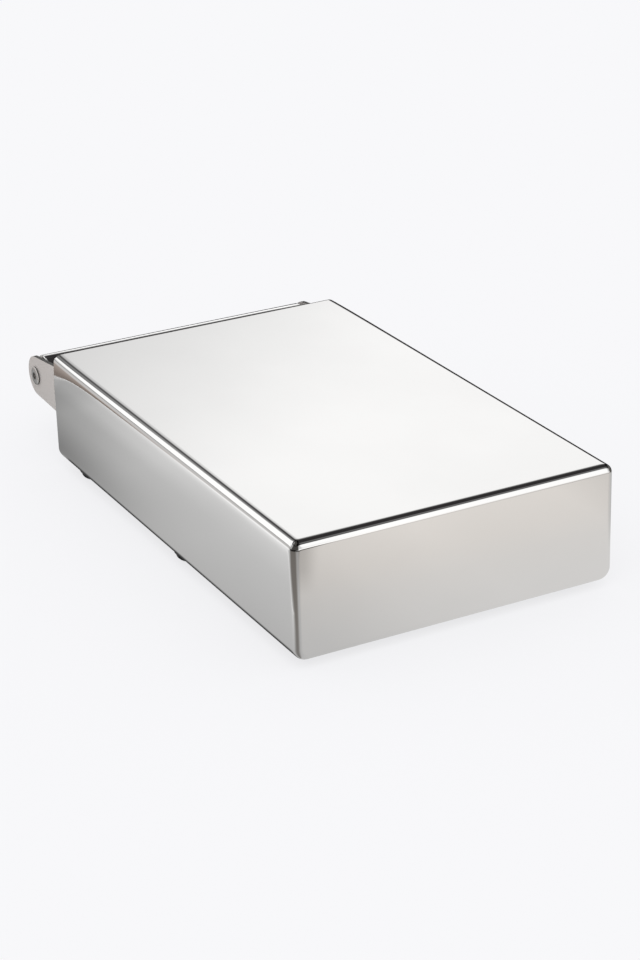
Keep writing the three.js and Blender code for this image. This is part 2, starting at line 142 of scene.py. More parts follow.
def window(tree, value, low, high, soft):
    """One between low and high and zero outside, with soft borders."""
    return times(tree, ramp(tree, value, low - soft, low + soft), fall(tree, value, high - soft, high + soft))


def layer(tree, amount, under, over):
    """One colour over another."""
    return shade(tree, "Mix", {0: amount, 6: under, 7: over}, data_type="RGBA").outputs[2]


def grey(level, warmth=0.0):
    """A grey of one level, a little warmer where asked."""
    return level, level * (1 - warmth / 2), level * (1 - warmth), 1


def colour_steps(tree, value, steps):
    """A colour ramp. Each step is a value, then a grey level with its warmth, or red, green and blue."""
    first, last = steps[0][0], steps[-1][0]
    share = shade(tree, "MapRange", {"Value": value, "From Min": first, "From Max": last})
    ramp_node = shade(tree, "ValToRGB", {0: share.outputs[0]})
    stops = ramp_node.color_ramp.elements
    for place, (at, *tone) in enumerate(steps):
        position = (at - first) / (last - first)
        stop = stops[place] if place < 2 else stops.new(position)
        stop.position = position
        stop.color = (*tone, 1) if len(tone) == 3 else grey(*tone)
    return ramp_node.outputs[0]


# Each panel: azimuth from and to, elevation from and to, soft border, all in degrees, and its brightness.
# Azimuth is 0 behind the box, towards +Y, and 90 on its right.
panels = [
    (-190, 190, 83, 95, 3, 0.62),
    (-174, -62, 3, 46, 6, 0.5),
    (-10, 16, -6, 18, 2.5, 0.62),
    (15, 29, 8.4, 18.6, 0.8, 1.35),
    (66, 126, -8, 34, 6, 0.8),
    (104, 136, 47, 66, 4, 0.16),
    (-150, 24, 54, 85, 4, 0.6),
    (126, 184, -9, 46.5, 4, 0.75),
    (-184, -170, -9, 46.5, 4, 0.75),
    (-60, -26, 7.4, 40, 0.9, 0.8),
]
far_ground = grey(0.6, 0.03)
dark_ground = grey(0.035)
world = bpy.data.worlds.new("studio")
scene.world = world
world.use_nodes = True
sky = world.node_tree
sky.nodes.clear()
axes = shade(sky, "SeparateXYZ", {0: shade(sky, "TexCoord").outputs["Generated"]}).outputs
turn = calc(sky, "DEGREES", calc(sky, "ARCTAN2", axes[0], axes[1]))
rise = calc(sky, "DEGREES", calc(sky, "ARCSINE", axes[2]))
low_ground = layer(sky, window(sky, turn, *dark_turn), far_ground, dark_ground)
panel_light = layer(sky, window(sky, rise, *ground_rise), dark_ceiling, low_ground)
for left, right, low, high, soft, level in panels:
    inside = times(sky, window(sky, turn, left, right, soft), window(sky, rise, low, high, soft))
    panel_light = layer(sky, inside, panel_light, grey(level))
# The ceiling behind the left bend brightens slowly to the left and upwards. Edges are in degrees, from and
# to, with their softness.
glow_level = 0.36
glow_start = 0.35
glow_turn = (-30, 30, 2)
glow_low_edge = (19.5, 22)
glow_growth = (25, 33)
glow_high_edge = (38, 46)
glow_right_edge = (-8, 17)
inside = times(sky, window(sky, turn, *glow_turn), ramp(sky, rise, *glow_low_edge))
glow = times(sky, inside, ramp(sky, rise, *glow_growth, glow_start), fall(sky, rise, *glow_high_edge))
glow = times(sky, glow, fall(sky, turn, *glow_right_edge))
panel_light = layer(sky, glow, panel_light, grey(glow_level))
# The front and left panels are brightest inside a slanting edge.
bright_level = 1.2
front_turn = (130, 156, 2.2)
front_rise = (-9, 46.5, 2.2)
front_slope = 0.3
front_edge = (143.5, 147.5)
left_start = (-52, -39)
left_rise = (7.4, 40, 0.9)
left_slope = -0.87
left_edge = (-38.9, -36.9)
inside = times(sky, window(sky, turn, *front_turn), window(sky, rise, *front_rise))
front_panel = times(sky, inside, ramp(sky, slanting(sky, rise, front_slope, turn), *front_edge))
inside = times(sky, ramp(sky, turn, *left_start), window(sky, rise, *left_rise))
left_panel = times(sky, inside, fall(sky, slanting(sky, rise, left_slope, turn), *left_edge))
for panel in (front_panel, left_panel):
    panel_light = layer(sky, panel, panel_light, grey(bright_level))
# The rear panel fills just what the flat top mirrors, and fades out slowly to its left and upwards. Each step
# is a place in degrees across the slanting edge, and the panel's share there.
left_fade = [(-24, 0), (-21, 0.06), (-16, 0.11), (-11, 0.28), (-6.6, 0.54), (-4.2, 0.66), (0.4, 0.8)]
left_fade += [(1.2, 0.85), (1.7, 1)]
top_fade = [(32.7, 1), (34, 0.85), (35.2, 0.5), (36.8, 0.24), (38.9, 0.14), (42.5, 0.08)]
top_fade += [(46.5, 0.04), (54, 0)]
left_slopes = (-1.26, 1.3)
top_slope = 0.236
top_step = (27.3, 30.3)
rear_foot = (16.4, 18.2)
rear_right_edge = (44, 50)
level_slopes = (0.08, 1 / 13.7)
level_edge = (3.0, 3.85)
rear_levels = (0.74, 1.09)
left_place = slanting(sky, rise, left_slopes[0], times(sky, turn, left_slopes[1]))
top_place = calc(sky, "ADD", slanting(sky, turn, top_slope, rise), fall(sky, turn, *top_step))
rear_panel = times(sky, colour_steps(sky, left_place, left_fade), colour_steps(sky, top_place, top_fade))
rear_panel = times(sky, rear_panel, ramp(sky, rise, *rear_foot), fall(sky, turn, *rear_right_edge))
level_place = slanting(sky, rise, level_slopes[0], times(sky, turn, level_slopes[1]))
rear_level = ramp(sky, level_place, *level_edge, *rear_levels)
rear_tone = shade(sky, "CombineXYZ", {0: rear_level, 1: rear_level, 2: rear_level}).outputs[0]
panel_light = layer(sky, rear_panel, panel_light, rear_tone)
ray = shade(sky, "LightPath").outputs
seen_light = layer(sky, ray["Is Glossy Ray"], even_level, panel_light)
seen_light = layer(sky, ray["Is Camera Ray"], seen_light, ground_tone)
background = shade(sky, "Background", {"Color": seen_light, "Strength": 1.0})
shade(sky, "OutputWorld", {"Surface": background.outputs[0]})

# One wide soft lamp high on the front left gives the floor its shadow. Mirrors don't see it.
lamp_strength = 0.75
lamp_spread = math.radians(50)
lamp_turn = (math.radians(28), math.radians(-24), 0)
lamp_data = bpy.data.lights.new("soft_lamp", "SUN")
lamp_data.energy = lamp_strength
lamp_data.angle = lamp_spread
lamp = new_object("soft_lamp", lamp_data)
lamp.rotation_euler = lamp_turn
lamp.visible_glossy = False

# Floor
# A plain pale sheet that takes a soft shadow. In mirrors it shows grey cards laid round the box on white
# paper: one beside and one before it, a dark one behind on the right, and brown far off on the left.
floor_reach = 6.0
floor_paint = (0.86, 0.86, 0.875, 1)
shadow_paint = (0.18, 0.18, 0.183, 1)
lit_part = (0.749, 0.749, 0.762, 1)
corner_bend = 0.0042
card_reach = 0.0638
glint_width = 0.0014
glint_border = 0.0003
glint_end = (0.44, 0.50)
under_tone = grey(0.06)
white = grey(1.0)


def new_finish(name):
    """An empty material and its node tree."""
    made = bpy.data.materials.new(name)
    made.use_nodes = True
    made.node_tree.nodes.clear()
    return made, made.node_tree


def mesh_piece(name, points, faces, finish):
    """An object at the origin, made of points and faces in the shared frame."""
    mesh = bpy.data.meshes.new(name)
    mesh.from_pydata([tuple(point) for point in points], [], faces)
    mesh.validate()
    mesh.materials.append(finish)
    return new_object(name, mesh)


def product(tree, first, second):
    """Two colours multiplied."""
    both = {0: 1.0, 6: first, 7: second}
    return shade(tree, "Mix", both, data_type="RGBA", blend_type="MULTIPLY").outputs[2]


def distance(tree, *parts):
    """The length of a way from its parts along the axes."""
    squares = [calc(tree, "POWER", part, 2.0) for part in parts]
    total = squares[0]
    for square in squares[1:]:
        total = calc(tree, "ADD", total, square)
    return calc(tree, "SQRT", total)


# Soft edges of the cards and of what lies between them, in metres, from and to.
front_card_edge = (-0.012, 0.004)
rear_change = (0.18, 0.36)
paper_change = (0.16, 0.5)
paper_start = (0.11, 0.17)
brown_start = (0.26, 0.38)
right_start = (0.04, 0.09)
right_front_edge = (0.0, 0.05)
right_change = (0.10, 0.30)
rear_start = (0.30, 0.34)
rear_left_edge = (-0.02, 0.0)
rear_card_change = (-0.08, 0.02)
under_left = (-0.001, 0.006)
under_right = (-0.01, 0.0)
under_front = (-0.012, -0.004)
under_rear = (0.305, 0.315)
floor_finish, tree = new_finish("floor_finish")
box_low, box_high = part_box("housing_shell")
place = shade(tree, "SeparateXYZ", {0: shade(tree, "NewGeometry").outputs["Position"]}).outputs
left_by = calc(tree, "SUBTRACT", box_low.x, place[0])
right_by = calc(tree, "SUBTRACT", place[0], box_high.x)
across = calc(tree, "SUBTRACT", place[0], box_low.x)
ahead = calc(tree, "SUBTRACT", box_low.y, place[1])
behind = calc(tree, "SUBTRACT", place[1], box_low.y)
# The card before the box changes across it and with the distance ahead. Steps start with metres.
across_steps = [(-0.02, 0.56, 0.01), (0.03, 0.6, 0.01), (0.085, 0.7, 0.02), (0.14, 0.76, 0.02)]
across_steps += [(0.235, 0.765, 0.02), (0.27, 0.66, 0.02), (0.33, 0.6, 0.02)]
ahead_steps = [(0, 0.97), (0.03, 0.985, 0.01), (0.06, 1.01, 0.03), (0.09, 1.06, 0.06), (0.128, 1.12, 0.07)]
ahead_steps += [(0.137, 0.9, 0.07), (0.22, 0.97, 0.06), (0.3, 1.45, 0.03), (0.42, 1.9)]
before = product(tree, colour_steps(tree, across, across_steps), colour_steps(tree, ahead, ahead_steps))
# The card beside it darkens towards the rear and brightens outwards, more steeply at the rear.
behind_steps = [(0.05, 0.61), (0.17, 0.6), (0.28, 0.53), (0.345, 0.43), (0.37, 0.4), (0.385, 0.385)]
behind_steps += [(0.4, 0.345), (0.411, 0.32), (0.45, 0.29)]
left_steps = [(0, 0.8), (0.02, 0.89), (0.034, 0.95), (0.044, 1), (0.0534, 1.09), (0.0585, 1.15)]
left_steps += [(0.0605, 1.22), (0.0615, 1.33), (0.0625, 1.5)]
rear_steps = [(0, 0.62), (0.0125, 0.64), (0.0167, 0.72), (0.027, 0.93), (0.034, 1.04)]
rear_steps += [(0.044, 1.1), (0.0534, 1.27)]
beside = product(tree, colour_steps(tree, behind, behind_steps), colour_steps(tree, left_by, left_steps))
rear_share = layer(tree, ramp(tree, behind, *rear_change), white, colour_steps(tree, left_by, rear_steps))
beside = product(tree, beside, rear_share)
# Past the card's far edge, with its bright cut, lie paper at the front and brown ground at the rear.
brown_steps = [(0.064, 0.17, 0.14, 0.122), (0.07, 0.24, 0.2, 0.178), (0.08, 0.4, 0.345, 0.315)]
brown_steps += [(0.092, 0.44, 0.39, 0.36), (0.11, 0.5, 0.46, 0.44), (0.17, 0.64, 0.62, 0.61)]
brown_steps += [(0.35, 0.6, 0.59, 0.585)]
paper = layer(tree, ramp(tree, left_by, *paper_change), grey(1.04), grey(0.6))
paper = layer(tree, ramp(tree, behind, *paper_start), grey(0.62), paper)
brown = colour_steps(tree, left_by, brown_steps)
far_left = layer(tree, ramp(tree, behind, *brown_start), paper, brown)
cut_edge = window(tree, left_by, card_reach, card_reach + glint_width, glint_border)
far_left = layer(tree, times(tree, cut_edge, fall(tree, behind, *glint_end)), far_left, white)
left_cards = layer(tree, ramp(tree, left_by, card_reach, card_reach + glint_width / 2), beside, far_left)
cards = layer(tree, ramp(tree, left_by, *front_card_edge), before, left_cards)
at_right = times(tree, ramp(tree, right_by, *right_start), ramp(tree, behind, *right_front_edge))
right_cards = layer(tree, ramp(tree, behind, *right_change), grey(0.5), grey(0.05))
cards = layer(tree, at_right, cards, right_cards)
at_rear = times(tree, ramp(tree, behind, *rear_start), fall(tree, left_by, *rear_left_edge))
rear_cards = layer(tree, ramp(tree, place[0], *rear_card_change), grey(0.30, 0.04), under_tone)
cards = layer(tree, at_rear, cards, rear_cards)
# The edge between the left side and the front sees a dark wedge of floor that runs out from the front corner.
out_left = calc(tree, "ADD", left_by, corner_bend)
out_ahead = calc(tree, "ADD", ahead, corner_bend)
from_corner = calc(tree, "DEGREES", calc(tree, "ARCTAN2", out_ahead, out_left))
corner_gap = distance(tree, out_left, out_ahead)
wedge_growth = (0.045, 0.13)
start_turns = (-20, -60)
full_turns = (30, -15)
wedge_end = (42, 80)
veil_turn = (58, 118.5, 2.5)
wedge_starts = ramp(tree, corner_gap, *wedge_growth, *start_turns)
wedge_full = ramp(tree, corner_gap, *wedge_growth, *full_turns)
wedge = times(tree, ramp(tree, from_corner, wedge_starts, wedge_full), fall(tree, from_corner, *wedge_end))
wedge_steps = [(0, 0.215, 0.08), (0.05, 0.212, 0.12), (0.09, 0.2, 0.14), (0.138, 0.18, 0.14)]
wedge_steps += [(0.153, 0.155, 0.14), (0.17, 0.1, 0.12), (0.24, 0.045, 0.1), (0.4, 0.02, 0.1)]
veil_steps = [(0.09, 0), (0.12, 0.35), (0.15, 0.45), (0.17, 0.9), (0.3, 0.9), (0.4, 0)]
wedge_colour = colour_steps(tree, corner_gap, wedge_steps)
veil = times(tree, colour_steps(tree, corner_gap, veil_steps), window(tree, from_corner, *veil_turn))
for amount in (wedge, veil):
    cards = layer(tree, amount, cards, wedge_colour)
# A painted shadow darkens the floor under the box where mirrors see it, and draws a thin dark line along the
# foot of the left side.
under = times(tree, fall(tree, left_by, *under_left), fall(tree, right_by, *under_right))
under = times(tree, under, fall(tree, ahead, *under_front), fall(tree, behind, *under_rear))
cards = layer(tree, under, cards, under_tone)
ray = shade(tree, "LightPath").outputs
plain_coat = shade(tree, "BsdfDiffuse", {"Color": floor_paint}).outputs[0]
shadow_coat = shade(tree, "BsdfDiffuse", {"Color": shadow_paint}).outputs[0]
lit_coat = shade(tree, "Emission", {"Color": lit_part, "Strength": 1.0}).outputs[0]
card_coat = shade(tree, "Emission", {"Color": cards, "Strength": 1.0}).outputs[0]
picture_coat = shade(tree, "AddShader", {0: shadow_coat, 1: lit_coat}).outputs[0]
coat = shade(tree, "MixShader", {0: ray["Is Camera Ray"], 1: plain_coat, 2: picture_coat}).outputs[0]
coat = shade(tree, "MixShader", {0: ray["Is Glossy Ray"], 1: coat, 2: card_coat}).outputs[0]
shade(tree, "OutputMaterial", {"Surface": coat})
corners = [(-1, -1), (1, -1), (1, 1), (-1, 1)]
floor_points = [(x * floor_reach, y * floor_reach, 0) for x, y in corners]
floor = mesh_piece("floor", floor_points, [(0, 1, 2, 3)], floor_finish)

# Housing shell
# A box of 1.5 mm stainless sheet: top, two sides, closed front end and turned-in bottom flanges. It is folded
# and welded, the welds are ground away, and the outside is polished to a mirror on a soft wheel.
sheet = 0.0015
top_bend = 0.0046
bottom_bend = 0.0075
front_rim = 0.0042
mouth_corner = 0.008
flange_width = 0.032
front_flange = 0.045
flange_corner = 0.009
edge_break = 0.0004
rim_shade_band = 0.0007
eased_reach = 0.0019
eased_tilt = math.radians(3)
eased_turn = math.radians(12)
eased_steps = (0.25, 0.5, 0.75, 1.0)
buffed_height = 0.0185
buffed_tilt = math.radians(3.4)
buffed_curve = 0.5
buffed_spots = ((0.0135, 0.012), (0.0044, 0.050))
buffed_fade = 0.0015
buffed_crowding = 1.8
mouth_stretch = 0.095
mouth_crowding = 1.4
bottom_facets = 20
side_facets = 5
buffed_facets = 24
top_facets = 32
rim_facets = 24
opening_facets = 8
early_rings = 3
late_rings = 7
mouth_rings = 24
top_shares = (0.1, 0.25, 0.5, 0.75)
polish_colour = (0.85, 0.845, 0.838, 1)
mill_colour = (0.62, 0.61, 0.60, 1)
shaded_cut_colour = (0.11, 0.105, 0.10, 1)
polish_patches = (9, 7, 13)
wave_depth = 0.0001


def bump(tree, height, depth, under=None):
    """The normal of a surface whose height is in shares of a depth in metres, over another normal."""
    inputs = {"Height": height, "Distance": depth, "Strength": 1.0}
    if under is not None:
        inputs["Normal"] = under
    return shade(tree, "Bump", inputs).outputs[0]


def own_place(tree):
    """The piece's own x, y and z."""
    return shade(tree, "SeparateXYZ", {0: shade(tree, "TexCoord").outputs["Object"]}).outputs


def noise(tree, scales, detail=1.0, roughness=0.5):
    """Soft random grey from 0 to 1, with its own fineness along each axis of the piece."""
    place = shade(tree, "TexCoord").outputs["Object"]
    vector = shade(tree, "Mapping", {"Vector": place, "Scale": scales}).outputs[0]
    inputs = {"Vector": vector, "Scale": 1.0, "Detail": detail, "Roughness": roughness}
    return shade(tree, "TexNoise", inputs).outputs[0]


def metal(name, colour, roughness_low, roughness_high, grain, waves, grain_depth, tint=0.03):
    """Steel with a fine grain along one axis, slow waves in its surface and a little uneven polish."""
    made, tree = new_finish(name)
    fine = noise(tree, grain, 3.0, 0.6)
    slow = noise(tree, waves)
    patches = noise(tree, polish_patches, 3.0)
    uneven = calc(tree, "MULTIPLY_ADD", fine, 0.5, times(tree, patches, 0.5))
    roughness = ramp(tree, uneven, 0.3, 0.7, roughness_low, roughness_high)
    darker = tuple(part * (1 - tint) for part in colour[:3]) + (1,)
    tone = layer(tree, ramp(tree, patches, 0.35, 0.65), colour, darker)
    normal = bump(tree, fine, grain_depth, bump(tree, slow, wave_depth))
    steel = {"Base Color": tone, "Metallic": 1.0, "Roughness": roughness, "Normal": normal}
    coat = shade(tree, "BsdfPrincipled", steel)
    shade(tree, "OutputMaterial", {"Surface": coat.outputs[0]})
    return made


def coat_of(finish):
    """The main shader of a finish."""
    return next(node for node in finish.node_tree.nodes if node.type == "BSDF_PRINCIPLED")


def stain_and_painted_reflection(finish, amount, colour):
    """Lays a colour over a finish's own where the amount says: weld stains, and a painted dark reflection."""
    tree = finish.node_tree
    tone = coat_of(finish).inputs["Base Color"]
    tree.links.new(layer(tree, amount, tone.links[0].from_socket, colour), tone)


def dress(piece, body, replaced):
    """Says which body a piece rides on, and hides the node that it stands for."""
    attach(piece, body)
    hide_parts(replaced)


mirror_steel = metal("mirror_steel", polish_colour, 0.03, 0.06, (40, 900, 40), (9, 6, 9), 0.0000004)
mill_steel = metal("mill_steel", mill_colour, 0.32, 0.45, (60, 1400, 60), (9, 6, 9), 0.000004)
# The steel of cut edges is rough, and far darker than real cut steel. Painted shade in it draws the dark
# lines at the mouth of the housing, along the ears' edges and round the bar screws.
shaded_cut_steel = metal("shaded_cut_steel", shaded_cut_colour, 0.35, 0.55, (1800, 300, 300), (60, 60, 60), 0.00002)
shell_low, shell_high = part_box("housing_shell")
half_width = shell_high.x
front_y, mouth_y = shell_low.y, shell_high.y
bottom_z, top_z = shell_low.z, shell_high.z
# The two top corners of the closed end are welded and ground by hand. A dark spot is painted on each: a
# painted reflection of the black that the mirror shows at these corners. The spot's places count outwards
# from the side, and inwards from the front and the top.
spot_middle = (-0.0027, 0.0020, 0.0016)
spot_reach = (0.0024, 0.0034)
spot_slant = (-0.888, -0.461)
spot_drop = 0.6
spot_starts = (0.00096, 0.00156)
spot_ends = (0.0026, 0.0032)
painted_reflection_colour = (0.10, 0.095, 0.09, 1)
tree = mirror_steel.node_tree
place = own_place(tree)
past_side = calc(tree, "SUBTRACT", calc(tree, "ABSOLUTE", place[0]), half_width)
past_front = calc(tree, "SUBTRACT", place[1], front_y)
below_top = calc(tree, "SUBTRACT", top_z, place[2])
offsets = [calc(tree, "SUBTRACT", *pair) for pair in zip((past_side, past_front, below_top), spot_middle)]
out_by = slanting(tree, past_side, spot_slant[0], times(tree, past_front, spot_slant[1]))
starting = ramp(tree, slanting(tree, below_top, spot_drop, out_by), *spot_starts)
near = fall(tree, distance(tree, *offsets), *spot_reach)
stain_and_painted_reflection(mirror_steel, times(tree, near, starting, fall(tree, out_by, *spot_ends)), painted_reflection_colour)


def quarter(start, end, steps):
    """Angles in degrees from start to end, in radians."""
    return np.radians(np.linspace(start, end, steps + 1))


def eased_by(angle):
    """How much further the outside of a bend leans where the wheel rounds it, by its angle from the top."""
    return eased_tilt * np.clip(1 - angle / eased_turn, 0, 1) ** 2


def side_half(y, flange_edge):
    """Left half of the section at each y: points (x, z) and outward directions, flange edge to mid top."""
    reach = sum(size * np.exp(-(mouth_y - y) / length) for size, length in buffed_spots)
    end_lean = buffed_tilt * (1 - np.exp(-reach / buffed_fade))
    zero = 0 * y
    points = [(-flange_edge, bottom_z + zero, zero, -1 + zero)]
    for angle in quarter(-90, -180, bottom_facets):
        along = (np.cos(angle) + zero, np.sin(angle) + zero)
        centre = (-half_width + bottom_bend, bottom_z + bottom_bend)
        points.append((centre[0] + bottom_bend * along[0], centre[1] + bottom_bend * along[1], *along))
    buffed_from = top_z - top_bend - buffed_height
    for height in np.linspace(bottom_z + bottom_bend, buffed_from, side_facets + 1)[1:]:
        points.append((-half_width + zero, height + zero, -1 + zero, zero))
    bend_start = top_z - top_bend * (1 - np.sin(end_lean))
    for share in np.linspace(0, 1, buffed_facets + 1)[1:]:
        below = buffed_height * (1 - share) ** buffed_crowding
        part = np.clip(1 - below / reach, 0, 1)
        tilt = end_lean * part ** buffed_curve
        shift = end_lean * reach * part ** (1 + buffed_curve) / (1 + buffed_curve)
        points.append((-half_width + shift, bend_start - below, -np.cos(tilt), np.sin(tilt)))
    centre = (points[-1][0] + top_bend * np.cos(end_lean), top_z - top_bend)
    for share in np.linspace(0, 1, top_facets + 1)[1:]:
        angle = end_lean + (math.pi / 2 - end_lean) * share
        facing = angle - eased_by(math.pi / 2 - angle)
        x, z = centre[0] - top_bend * np.cos(angle), centre[1] + top_bend * np.sin(angle)
        points.append((x, z, -np.cos(facing), np.sin(facing)))
    for share in eased_steps:
        tilt = eased_tilt * (1 - share) ** 2
        x = centre[0] + eased_reach * share
        points.append((x, top_z + zero, -math.sin(tilt) + zero, math.cos(tilt) + zero))
    for share in top_shares:
        points.append((-(half_width - 3 * top_bend) * (1 - share), top_z + zero, zero, 1 + zero))
    return points


def full_section(y, flange_edge):
    """The whole section at each y, as arrays x, z, nx, nz with one row for each point of the section."""
    left = side_half(y, flange_edge)
    middle = [(0, top_z, 0, 1)]
    right = [(-x, z, -nx, nz) for x, z, nx, nz in reversed(left)]
    rows = [[part + 0 * y for part in point] for point in left + middle + right]
    return [np.stack(values) for values in zip(*rows)]


def mouth_end(z):
    """Where the cut edge of the mouth lies at a height, round the lower corner, and its outward direction."""
    below = np.clip(mouth_corner - (z - bottom_z), 0, mouth_corner)
    reach = np.sqrt(np.clip(mouth_corner ** 2 - below ** 2, 0, None))
    return mouth_y - mouth_corner + reach, reach / mouth_corner, -below / mouth_corner


def flange_edge_at(y):
    """Distance of the flange's free edge from the middle, round the corner of the opening."""
    inner = half_width - flange_width - flange_corner
    past = np.clip(y - (front_y + front_flange), 0, flange_corner)
    return inner + np.sqrt(flange_corner ** 2 - (flange_corner - past) ** 2)


def shell_ring(y, inset, forward):
    """Points and normals of one ring: an inset from the outer faces, and how far the normal turns to -Y."""
    x, z, nx, nz = [values[:, 0] for values in full_section(np.array([y]), flange_edge_at(y))]
    normals = np.stack([nx, 0 * nx, nz], axis=-1)
    points = np.stack([x, y + 0 * x, z], axis=-1) - inset * normals
    return points, math.cos(forward) * normals + math.sin(forward) * np.array([0, -1, 0])


# Rings of points run round the rim of the closed end, past the front flange and along to the mouth. The same
# rings, set in by the thickness of the sheet, make the inside.
rings = []
for angle in quarter(0, 90, rim_facets):
    forward = math.pi / 2 - angle
    y = front_y + front_rim * (1 - math.cos(angle))
    rings.append(shell_ring(y, front_rim * (1 - math.sin(angle)), forward + eased_by(forward)))
for share in eased_steps:
    rings.append(shell_ring(front_y + front_rim + eased_reach * share, 0.0, eased_tilt * (1 - share) ** 2))
opening_y = front_y + front_flange
corner_ys = opening_y + flange_corner * (1 - np.cos(quarter(0, 90, opening_facets)))
early = np.linspace(front_y + front_rim + eased_reach, opening_y, early_rings + 2)[1:-1]
late = np.linspace(corner_ys[-1], mouth_y - mouth_stretch, late_rings + 1)[1:]
opening_ring = len(rings) + len(early)
for station in (*early, *corner_ys, *late):
    rings.append(shell_ring(station, 0.0, 0.0))
last_y = late[-1]
last_heights = rings[-1][0][:, 2]
last_edge = half_width - flange_width


def mouth_ring(share):
    """A ring on the way to the mouth, whose end is not level because of the round lower corners."""
    heights = last_heights
    own = np.arange(len(heights))
    for _ in range(3):
        ends, out_y, out_z = mouth_end(heights)
        ys = last_y + (ends - edge_break - last_y) * share
        x, z, nx, nz = [values[own, own] for values in full_section(ys, last_edge)]
        heights = z
    outward = np.stack([0 * out_y, out_y, out_z], axis=-1)
    return np.stack([x, ys, z], axis=-1), np.stack([nx, 0 * nx, nz], axis=-1), outward


late_shares = list(1 - (1 - np.linspace(0, 1, mouth_rings + 1)[1:]) ** mouth_crowding)
# One more ring bounds the narrow band of painted shade beside the mouth's edge.
late_shares.insert(-1, 1 - rim_shade_band / (mouth_y - last_y))
for share in sorted(late_shares):
    edge_points, edge_normals, edge_outward = mouth_ring(share)
    rings.append((edge_points, edge_normals))
ring_points = np.array([points for points, _ in rings])
ring_normals = np.array([normals for _, normals in rings])
inner_points = ring_points - sheet * ring_normals
# The sheet's cut edge at the mouth is broken on both sides.
rim = []
for side, angles in ((1, quarter(22.5, 90, 3)), (-1, quarter(90, 22.5, 3))):
    for angle in angles:
        drop = edge_break * (1 - math.cos(angle))
        depth = drop if side == 1 else sheet - drop
        points = edge_points + edge_outward * edge_break * math.sin(angle) - edge_normals * depth
        rim.append((points, edge_normals * math.cos(angle) * side + edge_outward * math.sin(angle)))
loops = [*ring_points, *[points for points, _ in rim], *inner_points[::-1]]
loop_normals = [*ring_normals, *[normals for _, normals in rim], *-ring_normals[::-1]]
count = ring_points.shape[1]
outer_rings = len(rings)
last_loop = len(loops) - 1
faces = []
face_normals = []


def add_face(members, directions):
    """One face by (ring, point) pairs, with a normal for each corner."""
    faces.append([ring * count + point for ring, point in members])
    face_normals.extend(directions)


def add_smooth(members):
    """One face whose corners take their own ring's normals."""
    add_face(members, [loop_normals[ring][point] for ring, point in members])


# Faces run from ring to ring: along the outside, round the cut edge and back along the inside.
for ring in range(last_loop):
    for point in range(count - 1):
        add_smooth([(ring, point), (ring, point + 1), (ring + 1, point + 1), (ring + 1, point)])
# The front flange, and the flat of the closed end, are closed outside and inside.
for ring in range(opening_ring):
    inside = last_loop - ring
    add_smooth([(ring, count - 1), (ring, 0), (ring + 1, 0), (ring + 1, count - 1)])
    add_smooth([(inside - 1, count - 1), (inside - 1, 0), (inside, 0), (inside, count - 1)])
add_smooth([(0, point) for point in reversed(range(count))])
add_smooth([(last_loop, point) for point in range(count)])
# Narrow faces close the free edges of the front flange and the side flanges, and the ends of the cut edge.
inside = last_loop - opening_ring
add_face([(opening_ring, count - 1), (opening_ring, 0), (inside, 0), (inside, count - 1)], [(0, 1, 0)] * 4)
for ring in range(opening_ring, outer_rings - 1):
    inside = last_loop - ring
    for point, order in ((0, 1), (count - 1, -1)):
        members = [(ring, point), (inside, point), (inside - 1, point), (ring + 1, point)][::-order]
        a, b, c = [Vector(loops[r][p]) for r, p in members[:3]]
        add_face(members, [(b - a).cross(c - b).normalized()] * 4)
rim_rings = range(outer_rings - 1, outer_rings + len(rim) + 1)
add_face([(ring, 0) for ring in rim_rings], [(1, 0, 0)] * len(rim_rings))
add_face([(ring, count - 1) for ring in reversed(rim_rings)], [(-1, 0, 0)] * len(rim_rings))

mesh = bpy.data.meshes.new("polished_housing")
mesh.from_pydata([tuple(point) for point in np.concatenate(loops)], [], faces)
for finish in (mirror_steel, mill_steel, shaded_cut_steel):
    mesh.materials.append(finish)
mesh.polygons.foreach_set("use_smooth", [True] * len(faces))
# The outside is polished and the inside keeps the mill's finish. The cut edge above the drawer, and a narrow
# band of the outside beside it, take the dark edge steel: painted shade along the rim of the mouth.
for polygon in mesh.polygons:
    strip = polygon.index // (count - 1)
    on_rim = outer_rings - 2 <= strip < outer_rings + len(rim) and polygon.center.z > top_z - sheet
    polygon.material_index = 2 if on_rim else 1 if outer_rings <= strip < last_loop else 0
mesh.normals_split_custom_set([tuple(direction) for direction in face_normals])
dress(new_object("polished_housing", mesh), "housing", "housing_shell")

# Base plate
# A flat 1.5 mm sheet that closes the bottom. It lies on the flanges inside the housing, spot-welded to them,
# and is drilled for the six foot screws.
foot_rows = ("front", "middle", "rear")
hands = (("left", -1), ("right", 1))
plate_edge = 0.00015
plate_corner = 0.004
foot_hole = 0.0023
corner_facets = 8
crisp_from = math.radians(35)
broken_from = math.radians(40)
weld_pitch = 0.042
weld_size = 0.0032
weld_depth = 0.0002
weld_colour = (0.42, 0.36, 0.33, 1)


def arc(centre, radius, start, end, steps):
    """Points on an arc in a plane, by angles in degrees."""
    turns = np.radians(np.linspace(start, end, steps + 1))
    return [(centre[0] + radius * math.cos(turn), centre[1] + radius * math.sin(turn)) for turn in turns]


def rounded_box(left, low, right, high, radius):
    """A rectangle with round corners, anticlockwise."""
    outline = []
    for x, y, start in ((right, low, -90), (right, high, 0), (left, high, 90), (left, low, 180)):
        centre_x = x - math.copysign(radius, x - (left + right) / 2)
        centre_y = y - math.copysign(radius, y - (low + high) / 2)
        outline += arc((centre_x, centre_y), radius, start, start + 90, corner_facets)
    return outline


